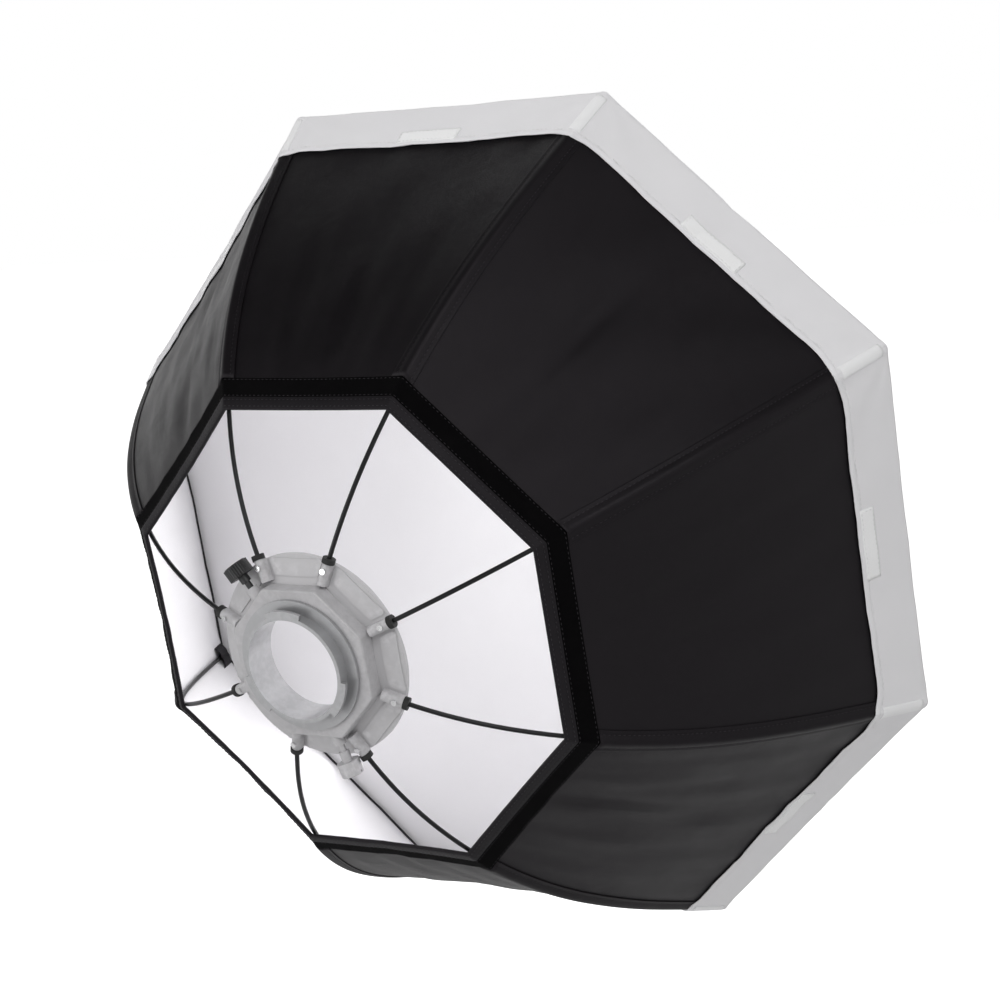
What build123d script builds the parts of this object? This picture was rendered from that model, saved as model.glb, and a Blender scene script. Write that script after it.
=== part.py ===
from build123d import *
import os
from math import atan2, cos, hypot, radians, sin, tan

# Octagonal studio softbox: eight bent rods run from a round speedring to the corners of the front
# rim, and hold a lined black shell with an open back and a white diffuser cap over the front.
# The optical axis is level. The front looks along -Y, +Z is up, and the origin is the centre of the
# seating face that meets the light head. "Axial" is the distance forward of that face, along -Y.

# ---- driving dimensions, millimetres and degrees ----
# rods
side_count = 8
first_corner = 67.5         # direction of corner 1, from +X towards +Z
rod_diameter = 4.5
tip_radius = 461.5          # end of a rod in the front corner
tip_axial = 391.0
rod_bend = 50.4             # turn between the two ends, tightest at the root
arc_count = 5
rod_insertion = 19.0
rod_cap_wall = 0.85         # rubber cap on the rod's front end
rod_cap_length = 14.0
rod_cap_end = 2.0           # solid end of the cap past the rod

# hub and rotating insert, from the bore outwards
bore_radius = 49.0
neck_wall = 3.5
neck_length = 11.0
lug_reach = 5.0             # of a bayonet lug past the neck
lug_thickness = 3.5
lug_count = 3
lug_angle = 40.0
insert_wall = 11.0
flange_overlap = 4.0
flange_thickness = 3.0
groove_width = 8.0
groove_depth = 2.0
retainer_overlap = 5.0
retainer_thickness = 2.0
retainer_screw_count = 4
retainer_screw_turn = 45.0
retainer_screw_depth = 8.0
rivet_radius = 1.6
rivet_head_radius = 2.5
rivet_head_height = 0.8
rivet_head_room = 1.5       # from the retaining ring's edge
rivet_depth = 6.0
hub_corner_reach = 6.0      # of the octagonal hub past the plate's inner flat
hub_corner_fillet = 4.0
hub_chamfer = 1.0

# speedring plate
plate_thickness = 2.5
plate_flat_margin = 3.0     # inner flat past the rivets' circle
plate_lip_depth = 2.0
plate_lip_thickness = 1.6
relief_height = 1.0
relief_margin = 9.0
relief_inner_margin = 2.0
relief_outer_margin = 4.0
relief_corner = 3.0

# rod sockets
socket_length = 23.0
socket_wall = 2.65
socket_room = 2.0           # between the hub's corners and the sockets
socket_overhang = 3.0       # of the sockets' mouths past the plate's rim
socket_stand = 4.8          # of the grommets' edges forward of the clamping screws' axes
grommet_flange = 1.2
grommet_length = 5.0
grommet_back = 1.4          # start of the grommet behind the mouth, clear of the plate's rim
screw_head_radius = 2.8
screw_head_height = 1.8
screw_shank_radius = 1.5
screw_key_radius = 1.3
socket_screw_back = 9.0     # distance of the clamping screw behind the socket's mouth

# clamping screws
clamp_axial = 10.0
upper_clamp_angle = 57.0
lower_clamp_angle = 255.0
clamp_shank_radius = 3.0
clamp_boss_radius = 6.0
clamp_boss_stand = 6.0      # past the hub's corners
clamp_pad_radius = 2.8
clamp_pad_length = 2.5
clamp_pad_chamfer = 0.4
clamp_travel_room = 7.0     # between the boss and the screw's neck when the clamp is shut
clamp_neck_radius = 5.0
upper_neck_length = 7.0
upper_knob_radius = 12.5
upper_knob_height = 12.0
upper_knurl_count = 30
upper_knurl_size = 1.3
upper_crown_height = 0.8
upper_crown_taper = 30.0
lower_neck_length = 10.0
lower_knob_radius = 11.0
lower_knob_height = 14.0
lower_knob_slot_width = 2.4
lower_knob_slot_depth = 3.0
lower_knob_chamfer = 1.0

# fabric, as layers outside the rods' centre lines
lining_thickness = 0.6
shell_thickness = 1.2
tape_thickness = 0.8
hem_thickness = 1.0
skirt_thickness = 0.8
tab_thickness = 1.0
rim_overhang = 9.0          # fabric past the rods' ends
opening_distance = 148.0    # along a rod, from its root to the edge of the rear opening
hem_width = 12.0
band_width = 20.0
sleeve_half_width = 11.0
binding_width = 6.5
skirt_width = 58.0
tab_width = 70.0
tab_depth = 17.0
tab_inset = 4.0
pocket_half_width = 13.0
pocket_length = 34.0
pocket_room = 1.0           # from the rod's cap to the pocket's end wall
diffuser_thickness = 1.0
ladder_step = 70.0          # spacing of the points that shape a layer's edge

# clearances
layer_gap = 0.3
running_gap = 0.05
slip_gap = 0.1
seam_gap = 0.3

# ---- values worked out from them ----
side_angle = 360.0 / side_count
half_side = side_angle / 2
flatness = cos(radians(half_side))
rod_radius = rod_diameter / 2
tip_cap_radius = rod_radius + slip_gap + rod_cap_wall
socket_radius = rod_radius + slip_gap + socket_wall
grommet_radius = socket_radius + grommet_flange
neck_radius = bore_radius + neck_wall
lug_radius = neck_radius + lug_reach
insert_radius = bore_radius + insert_wall
flange_radius = insert_radius + flange_overlap
retainer_radius = insert_radius + retainer_overlap
rivet_circle = retainer_radius + rivet_head_room + rivet_head_radius
plate_flat_radius = rivet_circle + plate_flat_margin
hub_corner_radius = plate_flat_radius + hub_corner_reach
root_radius = hub_corner_radius + socket_room + socket_length      # where a rod leaves its socket
plate_radius = root_radius - socket_overhang
root_axial = clamp_axial + socket_stand + grommet_radius
clamp_boss_reach = hub_corner_radius + clamp_boss_stand
clamp_neck_start = clamp_boss_reach + clamp_travel_room
upper_knob_inner = clamp_neck_start + upper_neck_length
lower_knob_inner = clamp_neck_start + lower_neck_length

# A rod is a chain of tangent arcs, whose turns fall off evenly from the root to the tip.
turns = [radians(rod_bend) * (2 * (arc_count - i) - 1) / arc_count**2 for i in range(arc_count)]


def walk(distance, start, heading, step):
    """Point and heading at a distance along the chain of arcs, which runs straight past both ends."""
    radius, axial = start
    left = distance
    for index, turn in enumerate(turns):
        run = left if left < 0 and index == 0 else min(max(left, 0.0), step)
        part = turn * run / step if run > 0 else 0.0
        chord = run * (sin(part / 2) / (part / 2) if part else 1.0)
        radius += chord * cos(heading + part / 2)
        axial += chord * sin(heading + part / 2)
        heading += part
        left -= run
    return radius + left * cos(heading), axial + left * sin(heading), heading


unit_radius, unit_axial = walk(1.0, (0.0, 0.0), 0.0, 1.0 / arc_count)[:2]
span_radius = tip_radius - root_radius
span_axial = tip_axial - root_axial
rod_length = hypot(span_radius, span_axial) / hypot(unit_radius, unit_axial)
root_heading = atan2(span_axial, span_radius) - atan2(unit_axial, unit_radius)


def rod_state(distance):
    """Radius, axial place and heading at a distance along a rod from its root."""
    return walk(distance, (root_radius, root_axial), root_heading, rod_length / arc_count)


def along_rod(distance, outwards=0.0):
    """Radius and axial place at a distance from the root, moved outwards square to the rod."""
    radius, axial, heading = rod_state(distance)
    return radius + outwards * sin(heading), axial - outwards * cos(heading)


def meridian(angle):
    """Plane through the optical axis: local x is the radius at this angle, local y is axial."""
    turn = radians(angle)
    return Plane(origin=(0, 0, 0), x_dir=(cos(turn), 0, sin(turn)), z_dir=(sin(turn), 0, -cos(turn)))


def radial_plane(angle, axial, radius):
    """Plane square to a radius, with its normal pointing outwards."""
    turn = radians(angle)
    place = (radius * cos(turn), -axial, radius * sin(turn))
    return Plane(origin=place, x_dir=(0, -1, 0), z_dir=(cos(turn), 0, sin(turn)))


def face_plane(angle, axial):
    """Plane square to the optical axis, with local x at this angle and its normal forwards."""
    turn = radians(angle)
    return Plane(origin=(0, -axial, 0), x_dir=(cos(turn), 0, sin(turn)), z_dir=(0, -1, 0))


def rod_plane(angle, distance):
    """Plane square to a rod, with its normal along the rod and local x towards the front."""
    turn = radians(angle)
    radius, axial, slope = rod_state(distance)
    place = (radius * cos(turn), -axial, radius * sin(turn))
    normal = (cos(slope) * cos(turn), -sin(slope), cos(slope) * sin(turn))
    front = (-sin(slope) * cos(turn), -cos(slope), -sin(slope) * sin(turn))
    return Plane(origin=place, x_dir=front, z_dir=normal)


def screw_plane(angle, distance):
    """Plane along a rod, with its normal square to the rod and towards the back."""
    along = rod_plane(angle, distance)
    return Plane(origin=along.origin, x_dir=along.z_dir, z_dir=-along.x_dir)


corner_angles = [first_corner + side_angle * index for index in range(side_count)]
panel_angles = [angle + half_side for angle in corner_angles]
optical_axis = Axis((0, 0, 0), (0, -1, 0))

lining_inner = tip_cap_radius / flatness + layer_gap
lining_outer = lining_inner + lining_thickness
shell_inner = lining_outer + layer_gap
shell_outer = shell_inner + shell_thickness
tape_inner = shell_outer + layer_gap
tape_outer = tape_inner + tape_thickness
hem_outer = tape_inner + hem_thickness
skirt_inner = tape_outer + layer_gap
skirt_outer = skirt_inner + skirt_thickness
tab_inner = skirt_outer + layer_gap
tab_outer = tab_inner + tab_thickness
rim_distance = rod_length + rim_overhang
band_start = opening_distance + hem_width + layer_gap
sleeve_start = band_start + band_width + layer_gap
skirt_start = rim_distance - skirt_width

os.makedirs("parts", exist_ok=True)


def save(builder, name):
    builder.part.label = name
    export_step(builder.part, f"parts/{name}.step")


def ladder(start, end, outwards):
    """Points of a fabric layer's edge in the middle plane of a panel, from start to end."""
    count = max(3, round((end - start) / ladder_step) + 1)
    places = [start + (end - start) * index / (count - 1) for index in range(count)]
    corners = [along_rod(place, outwards) for place in places]
    return [(radius * flatness, axial) for radius, axial in corners]


def fabric_strip(angle, layer, reach, gap=seam_gap / 2, half_length=plate_radius + tip_radius):
    """One panel's stretch of a fabric layer.

    layer is its inner and outer distance from the rods' centre lines, reach is where it starts and
    ends along a rod, and gap is how far it stays from the seam at each side.
    """
    inner_edge = ladder(*reach, layer[0])
    outer_edge = ladder(*reach, layer[1])
    with BuildPart() as strip:
        with BuildSketch(meridian(angle)):
            with BuildLine():
                Spline(*inner_edge)
                Line(inner_edge[-1], outer_edge[-1])
                Spline(*reversed(outer_edge))
                Line(outer_edge[0], inner_edge[0])
            make_face()
        extrude(amount=half_length, both=True)
        split(bisect_by=meridian(angle - half_side).offset(-gap), keep=Keep.BOTTOM)
        split(bisect_by=meridian(angle + half_side).offset(gap), keep=Keep.TOP)
    return strip.part


def seam_strip(corner, layer, reach, half_width):
    """A folded strip over one seam: a wing on each of the two panels that meet there."""
    with BuildPart() as low_wing:
        add(fabric_strip(corner - half_side, layer, reach, gap=0.0))
        split(bisect_by=meridian(corner).offset(half_width), keep=Keep.BOTTOM)
    with BuildPart() as high_wing:
        add(fabric_strip(corner + half_side, layer, reach, gap=0.0))
        split(bisect_by=meridian(corner).offset(-half_width), keep=Keep.TOP)
    return low_wing.part + high_wing.part


def fabric_ring(layer, reach):
    """The same stretch on every panel, as separate lengths that meet at the seams."""
    with BuildPart() as ring:
        for angle in panel_angles:
            add(fabric_strip(angle, layer, reach))
    return ring


# ---- speedring plate: an inner flat, a cone parallel to the rods' roots, and a turned lip ----
cone_slope = tan(root_heading)
socket_seat = (socket_radius + running_gap) / cos(root_heading)
rim_axial = root_axial + socket_seat - (root_radius - plate_radius) * cone_slope
flat_axial = rim_axial - (plate_radius - plate_flat_radius) * cone_slope
plate_front = flat_axial + plate_thickness
plate_hole_radius = insert_radius + layer_gap
lip_inner_radius = plate_radius - plate_lip_thickness
lip_inner_axial = rim_axial - plate_lip_thickness * cone_slope + plate_thickness
lip_end = rim_axial + plate_thickness + plate_lip_depth

with BuildPart() as plate_disc:
    with BuildSketch(meridian(0)):
        with BuildLine():
            Polyline(
                (plate_hole_radius, flat_axial),
                (plate_flat_radius, flat_axial),
                (plate_radius, rim_axial),
                (plate_radius, lip_end),
                (lip_inner_radius, lip_end),
                (lip_inner_radius, lip_inner_axial),
                (plate_flat_radius, plate_front),
                (plate_hole_radius, plate_front),
                close=True,
            )
        make_face()
    revolve(axis=optical_axis)
    fillet(plate_disc.edges().filter_by(GeomType.CIRCLE).sort_by(Axis.Y)[0], plate_lip_thickness / 3)

# raised panels between the sockets, pressed a little proud of the cone's rear face
relief_inner = hub_corner_radius + relief_inner_margin
relief_outer = plate_radius - relief_outer_margin
relief_spread = tan(radians(half_side))
with BuildPart() as relief_panels:
    with BuildSketch(meridian(0)):
        with BuildLine():
            Polyline(
                (plate_flat_radius, flat_axial - relief_height),
                (plate_radius, rim_axial - relief_height),
                (plate_radius, rim_axial + plate_thickness / 2),
                (plate_flat_radius, flat_axial + plate_thickness / 2),
                close=True,
            )
        make_face()
    revolve(axis=optical_axis)
with BuildPart() as relief_mask:
    for angle in panel_angles:
        with BuildSketch(face_plane(angle, 0.0)):
            Polygon(
                (relief_inner, relief_margin - relief_inner * relief_spread),
                (relief_outer, relief_margin - relief_outer * relief_spread),
                (relief_outer, relief_outer * relief_spread - relief_margin),
                (relief_inner, relief_inner * relief_spread - relief_margin),
                align=None,
            )
        extrude(amount=rim_axial + plate_thickness)
    fillet(relief_mask.edges().filter_by(Axis.Y), relief_corner)
relief = relief_panels.part & relief_mask.part
with BuildPart() as ring_plate:
    add(plate_disc.part)
    add(relief)
    with Locations(face_plane(first_corner, plate_front)):
        with PolarLocations(rivet_circle, side_count):
            Hole(rivet_radius, depth=2 * plate_thickness)
save(ring_plate, "ring_plate")

# ---- octagonal hub behind the plate, with a boss for each clamping screw ----
hub_start = flange_thickness + layer_gap
boss_start = (insert_radius + hub_corner_radius * flatness) / 2
clamp_angles = {"upper": upper_clamp_angle, "lower": lower_clamp_angle}
with BuildPart() as ring_hub:
    with BuildSketch(face_plane(first_corner, hub_start)):
        RegularPolygon(hub_corner_radius, side_count)
    extrude(amount=flat_axial - hub_start)
    fillet(ring_hub.edges().filter_by(Axis.Y), hub_corner_fillet)
    chamfer(ring_hub.faces().sort_by(Axis.Y)[-1].edges(), hub_chamfer)
    for angle in clamp_angles.values():
        with BuildSketch(radial_plane(angle, clamp_axial, boss_start)):
            Circle(clamp_boss_radius)
        extrude(amount=clamp_boss_reach - boss_start)
    with BuildSketch(face_plane(0.0, hub_start)):
        Circle(insert_radius + running_gap)
    extrude(amount=flat_axial - hub_start, mode=Mode.SUBTRACT)
    for angle in clamp_angles.values():
        with BuildSketch(radial_plane(angle, clamp_axial, bore_radius)):
            Circle(clamp_shank_radius + running_gap)
        extrude(amount=clamp_boss_reach, mode=Mode.SUBTRACT)
    with Locations(face_plane(first_corner, flat_axial)):
        with PolarLocations(rivet_circle, side_count):
            Hole(rivet_radius, depth=rivet_depth)
save(ring_hub, "ring_hub")

# ---- rivets that hold the plate on the hub ----
with BuildPart() as plate_rivets:
    with BuildSketch(face_plane(first_corner, flat_axial - rivet_depth + slip_gap)):
        with PolarLocations(rivet_circle, side_count):
            Circle(rivet_radius - slip_gap)
    extrude(amount=plate_thickness + rivet_depth - slip_gap)
    with BuildSketch(face_plane(first_corner, plate_front)):
        with PolarLocations(rivet_circle, side_count):
            Circle(rivet_head_radius)
    extrude(amount=rivet_head_height)
save(plate_rivets, "plate_rivets")

# ---- rotating insert: bayonet neck and lugs behind, flange, sleeve with a groove for the clamps ----
insert_front = plate_front + layer_gap
retainer_screw_circle = (bore_radius + insert_radius) / 2
lug_root = (bore_radius + neck_radius) / 2
with BuildPart() as bayonet_insert:
    with BuildSketch(meridian(0)):
        with BuildLine():
            Polyline(
                (bore_radius, -neck_length),
                (neck_radius, -neck_length),
                (neck_radius, 0.0),
                (flange_radius, 0.0),
                (flange_radius, flange_thickness),
                (insert_radius, flange_thickness),
                (insert_radius, clamp_axial - groove_width / 2),
                (insert_radius - groove_depth, clamp_axial - groove_width / 2),
                (insert_radius - groove_depth, clamp_axial + groove_width / 2),
                (insert_radius, clamp_axial + groove_width / 2),
                (insert_radius, insert_front),
                (bore_radius, insert_front),
                close=True,
            )
        make_face()
    revolve(axis=optical_axis)
    for index in range(lug_count):
        lug_turn = 90.0 - lug_angle / 2 + 360.0 / lug_count * index
        with BuildSketch(meridian(lug_turn)):
            with BuildLine():
                Polyline(
                    (lug_root, -neck_length),
                    (lug_radius, -neck_length),
                    (lug_radius, lug_thickness - neck_length),
                    (lug_root, lug_thickness - neck_length),
                    close=True,
                )
            make_face()
        revolve(axis=optical_axis, revolution_arc=lug_angle)
    with Locations(face_plane(retainer_screw_turn, insert_front)):
        with PolarLocations(retainer_screw_circle, retainer_screw_count):
            Hole(screw_shank_radius + slip_gap, depth=retainer_screw_depth)
save(bayonet_insert, "bayonet_insert")

# ---- ring that keeps the insert in the hub, and its screws ----
with BuildPart() as retaining_ring:
    with BuildSketch(face_plane(retainer_screw_turn, insert_front)):
        Circle(retainer_radius)
        Circle(bore_radius, mode=Mode.SUBTRACT)
    extrude(amount=retainer_thickness)
    with Locations(face_plane(retainer_screw_turn, insert_front + retainer_thickness)):
        with PolarLocations(retainer_screw_circle, retainer_screw_count):
            Hole(screw_shank_radius + slip_gap, depth=2 * retainer_thickness)
save(retaining_ring, "retaining_ring")

with BuildPart() as retaining_screws:
    with BuildSketch(face_plane(retainer_screw_turn, insert_front - retainer_screw_depth + slip_gap)):
        with PolarLocations(retainer_screw_circle, retainer_screw_count):
            Circle(screw_shank_radius)
    extrude(amount=retainer_screw_depth - slip_gap + retainer_thickness)
    with BuildSketch(face_plane(retainer_screw_turn, insert_front + retainer_thickness)):
        with PolarLocations(retainer_screw_circle, retainer_screw_count):
            Circle(screw_head_radius)
    extrude(amount=screw_head_height)
    with BuildSketch(face_plane(retainer_screw_turn, insert_front + retainer_thickness + screw_head_height)):
        with PolarLocations(retainer_screw_circle, retainer_screw_count):
            RegularPolygon(screw_key_radius, 6)
    extrude(amount=-screw_head_height / 2, mode=Mode.SUBTRACT)
save(retaining_screws, "retaining_screws")

# ---- clamping screws: a pad that slides in the hub, and a thumbscrew that turns behind it ----
pad_start = insert_radius - groove_depth + layer_gap
shank_start = pad_start + clamp_pad_length
for name, angle in clamp_angles.items():
    with BuildPart() as clamp_pad:
        with BuildSketch(radial_plane(angle, clamp_axial, pad_start)):
            Circle(clamp_pad_radius)
        extrude(amount=clamp_pad_length)
        pad_edges = clamp_pad.edges().filter_by(GeomType.CIRCLE).sort_by_distance((0, -clamp_axial, 0))
        chamfer(pad_edges[0], clamp_pad_chamfer)
    save(clamp_pad, f"clamp_pad_{name}")

with BuildPart() as thumbscrew_upper:
    with BuildSketch(radial_plane(upper_clamp_angle, clamp_axial, shank_start)):
        Circle(clamp_shank_radius)
    extrude(amount=clamp_neck_start - shank_start)
    with BuildSketch(radial_plane(upper_clamp_angle, clamp_axial, clamp_neck_start)):
        Circle(clamp_neck_radius)
    extrude(amount=upper_knob_inner - clamp_neck_start)
    with BuildSketch(radial_plane(upper_clamp_angle, clamp_axial, upper_knob_inner)):
        Circle(upper_knob_radius)
        with PolarLocations(upper_knob_radius, upper_knurl_count):
            Rectangle(upper_knurl_size, upper_knurl_size, rotation=45, mode=Mode.SUBTRACT)
    extrude(amount=upper_knob_height)
    with BuildSketch(radial_plane(upper_clamp_angle, clamp_axial, upper_knob_inner + upper_knob_height)):
        Circle(upper_knob_radius - upper_knurl_size)
    extrude(amount=upper_crown_height, taper=upper_crown_taper)
save(thumbscrew_upper, "thumbscrew_upper")

with BuildPart() as thumbscrew_lower:
    with BuildSketch(radial_plane(lower_clamp_angle, clamp_axial, shank_start)):
        Circle(clamp_shank_radius)
    extrude(amount=clamp_neck_start - shank_start)
    with BuildSketch(radial_plane(lower_clamp_angle, clamp_axial, clamp_neck_start)):
        Circle(clamp_neck_radius)
    extrude(amount=lower_knob_inner - clamp_neck_start)
    with BuildSketch(radial_plane(lower_clamp_angle, clamp_axial, lower_knob_inner)):
        Circle(lower_knob_radius)
    extrude(amount=lower_knob_height)
    knob_end = (lower_knob_inner + lower_knob_height) * 2
    far_point = radial_plane(lower_clamp_angle, clamp_axial, knob_end).origin
    knob_edges = thumbscrew_lower.edges().filter_by(GeomType.CIRCLE).sort_by_distance(far_point)
    chamfer(knob_edges[0], lower_knob_chamfer)
    with BuildSketch(radial_plane(lower_clamp_angle, clamp_axial, lower_knob_inner + lower_knob_height)):
        Rectangle(lower_knob_slot_width, 3 * lower_knob_radius)
    extrude(amount=-lower_knob_slot_depth, mode=Mode.SUBTRACT)
save(thumbscrew_lower, "thumbscrew_lower")

# ---- rod sockets on the plate's rear face, one rubber grommet and one screw in each ----
for number, angle in enumerate(corner_angles, start=1):
    with BuildPart() as rod_socket:
        with BuildSketch(rod_plane(angle, -socket_length)):
            Circle(socket_radius)
            with Locations((socket_radius / 2, 0)):
                Rectangle(socket_radius, 2 * socket_radius)
        extrude(amount=socket_length - grommet_back)
        with BuildSketch(rod_plane(angle, -rod_insertion - slip_gap)):
            Circle(rod_radius + slip_gap)
        extrude(amount=socket_length, mode=Mode.SUBTRACT)
        with BuildSketch(screw_plane(angle, -socket_screw_back)):
            Circle(screw_shank_radius + slip_gap)
        extrude(amount=2 * socket_radius, mode=Mode.SUBTRACT)
    save(rod_socket, f"rod_socket_{number}")

with BuildPart() as socket_grommets:
    for angle in corner_angles:
        with BuildSketch(rod_plane(angle, -grommet_back)):
            Circle(grommet_radius)
            Circle(rod_radius + slip_gap, mode=Mode.SUBTRACT)
        extrude(amount=grommet_length)
save(socket_grommets, "socket_grommets")

with BuildPart() as socket_screws:
    for angle in corner_angles:
        seat = screw_plane(angle, -socket_screw_back)
        with BuildSketch(seat.offset(rod_radius + slip_gap)):
            Circle(screw_shank_radius)
        extrude(amount=socket_radius - rod_radius)
        with BuildSketch(seat.offset(socket_radius + slip_gap)):
            Circle(screw_head_radius)
        extrude(amount=screw_head_height)
save(socket_screws, "socket_screws")

# ---- rods: a straight end in the socket, then the chain of arcs ----
arc_length = rod_length / arc_count
for number, angle in enumerate(corner_angles, start=1):
    with BuildPart() as rod:
        with BuildLine(meridian(angle)):
            Line(along_rod(-rod_insertion), along_rod(0.0))
            for start in range(arc_count):
                arc_points = [along_rod((start + share) * arc_length) for share in (0.0, 0.5, 1.0)]
                ThreePointArc(*arc_points)
        with BuildSketch(rod_plane(angle, -rod_insertion)):
            Circle(rod_radius)
        sweep()
    save(rod, f"rod_{number}")

# ---- caps on the rods' ends ----
with BuildPart() as rod_tips:
    for angle in corner_angles:
        with BuildSketch(rod_plane(angle, rod_length - rod_cap_length)):
            Circle(tip_cap_radius)
        extrude(amount=rod_cap_length + rod_cap_end)
        with BuildSketch(rod_plane(angle, rod_length - rod_cap_length)):
            Circle(rod_radius + slip_gap)
        extrude(amount=rod_cap_length + slip_gap, mode=Mode.SUBTRACT)
save(rod_tips, "rod_tips")

# ---- shell: eight black panels, with a white lining inside ----
whole_reach = (opening_distance, rim_distance)
for number, angle in enumerate(panel_angles, start=1):
    with BuildPart() as shell_panel:
        add(fabric_strip(angle, (shell_inner, shell_outer), whole_reach))
    save(shell_panel, f"shell_panel_{number}")

save(fabric_ring((lining_inner, lining_outer), whole_reach), "lining")

# ---- hem round the rear opening, and the hook-and-loop band beside it ----
save(fabric_ring((tape_inner, hem_outer), (opening_distance, opening_distance + hem_width)), "rear_hem")
save(fabric_ring((tape_inner, tape_outer), (band_start, band_start + band_width)), "hook_band")

# ---- sleeves over the seams ----
sleeve_reach = (sleeve_start, rim_distance - binding_width - layer_gap)
for number, angle in enumerate(corner_angles, start=1):
    with BuildPart() as seam_sleeve:
        add(seam_strip(angle, (tape_inner, tape_outer), sleeve_reach, sleeve_half_width))
    save(seam_sleeve, f"seam_sleeve_{number}")

# ---- binding round the front edge, inside and outside, joined across the edge ----
binding_inner = lining_inner - layer_gap - tape_thickness
binding_end = rim_distance + layer_gap + tape_thickness
binding_reach = (rim_distance - binding_width, binding_end)
binding_edge = (rim_distance + layer_gap, binding_end)
with BuildPart() as front_binding:
    for angle in panel_angles:
        add(fabric_strip(angle, (binding_inner, lining_inner - layer_gap), binding_reach))
        add(fabric_strip(angle, (tape_inner, tape_outer), binding_reach))
        add(fabric_strip(angle, (binding_inner, tape_outer), binding_edge))
save(front_binding, "front_binding")

# ---- pockets in the front corners that take the capped ends of the rods ----
pocket_floor = -tip_cap_radius / flatness - layer_gap
pocket_layer = (pocket_floor - tape_thickness, pocket_floor)
pocket_wall = (pocket_floor - tape_thickness, binding_inner - layer_gap)
pocket_wall_start = rod_length + rod_cap_end + pocket_room
pocket_end = pocket_wall_start + tape_thickness
pocket_reach = (rod_length - pocket_length, pocket_end)
with BuildPart() as corner_pockets:
    for angle in corner_angles:
        add(seam_strip(angle, pocket_layer, pocket_reach, pocket_half_width))
        add(seam_strip(angle, pocket_wall, (pocket_wall_start, pocket_end), pocket_half_width))
save(corner_pockets, "corner_pockets")

# ---- diffuser cap: a front sheet, a skirt folded back over the shell, and its closure tabs ----
tip_heading = rod_state(rod_length)[2]
front_axial = along_rod(binding_end, binding_inner)[1] + layer_gap
skirt_run = front_axial - layer_gap - tip_axial + skirt_inner * cos(tip_heading)
skirt_end = rod_length + skirt_run / sin(tip_heading)
with BuildPart() as diffuser_front:
    with BuildSketch(face_plane(first_corner, front_axial)):
        RegularPolygon(along_rod(skirt_end, skirt_outer)[0], side_count)
    extrude(amount=diffuser_thickness)
save(diffuser_front, "diffuser_front")

save(fabric_ring((skirt_inner, skirt_outer), (skirt_start, skirt_end)), "diffuser_skirt")

tab_reach = (skirt_start + tab_inset, skirt_start + tab_inset + tab_depth)
with BuildPart() as closure_tabs:
    for angle in panel_angles:
        add(fabric_strip(angle, (tab_inner, tab_outer), tab_reach, half_length=tab_width / 2))
save(closure_tabs, "closure_tabs")
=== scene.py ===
"""Octagonal studio softbox: its sewn shell, lining, diffuser cap and metalwork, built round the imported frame.

Distances are metres in the part's own frame: the optical axis is level, the front looks along -Y and
+Z is up. "Axial" is the distance forward of the seat on the light head, and "outwards" is square to
the rods, away from the axis.
"""

from math import cos, hypot, pi, radians, sin

import bpy
import numpy as np
from bpy.props import FloatProperty, FloatVectorProperty, IntProperty, PointerProperty
from mathutils import Matrix, Vector


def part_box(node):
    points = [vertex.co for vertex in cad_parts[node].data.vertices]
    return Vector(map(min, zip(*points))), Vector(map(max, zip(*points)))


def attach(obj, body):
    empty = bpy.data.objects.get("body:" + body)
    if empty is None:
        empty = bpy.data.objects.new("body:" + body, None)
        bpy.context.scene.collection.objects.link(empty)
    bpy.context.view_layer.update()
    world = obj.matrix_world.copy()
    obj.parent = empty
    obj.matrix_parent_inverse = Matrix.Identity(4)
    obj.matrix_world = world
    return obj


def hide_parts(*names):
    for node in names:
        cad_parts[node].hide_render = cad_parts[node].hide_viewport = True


bl_info = {
    "name": "Studio softbox",
    "version": (1, 0, 0),
    "blender": (4, 5, 0),
    "location": "View3D > Sidebar > Softbox",
    "description": "Builds the cloth, seams and finishes of an eight-sided softbox round its frame",
    "category": "Add Mesh",
}

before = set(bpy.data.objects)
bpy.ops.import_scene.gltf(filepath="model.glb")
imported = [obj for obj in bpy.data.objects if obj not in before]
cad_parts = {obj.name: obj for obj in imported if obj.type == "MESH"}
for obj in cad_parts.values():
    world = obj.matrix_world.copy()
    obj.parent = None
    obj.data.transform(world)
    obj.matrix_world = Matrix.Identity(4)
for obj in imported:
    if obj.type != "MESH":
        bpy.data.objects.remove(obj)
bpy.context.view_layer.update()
BODY = "softbox"
SIDES = 8
HALF_SIDE = pi / SIDES
FIRST_CORNER = radians(67.5)
MM = 0.001


# ---- sizes and colours ----
def length(title, text, default):
    """A length that the user can change, in metres."""
    return FloatProperty(name=title, description=text, default=default, unit="LENGTH", precision=5)


def tint(title, text, default):
    """A linear colour that the user can change."""
    return FloatVectorProperty(
        name=title, description=text, default=default, subtype="COLOR", size=3, min=0.0, max=1.0
    )


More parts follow.
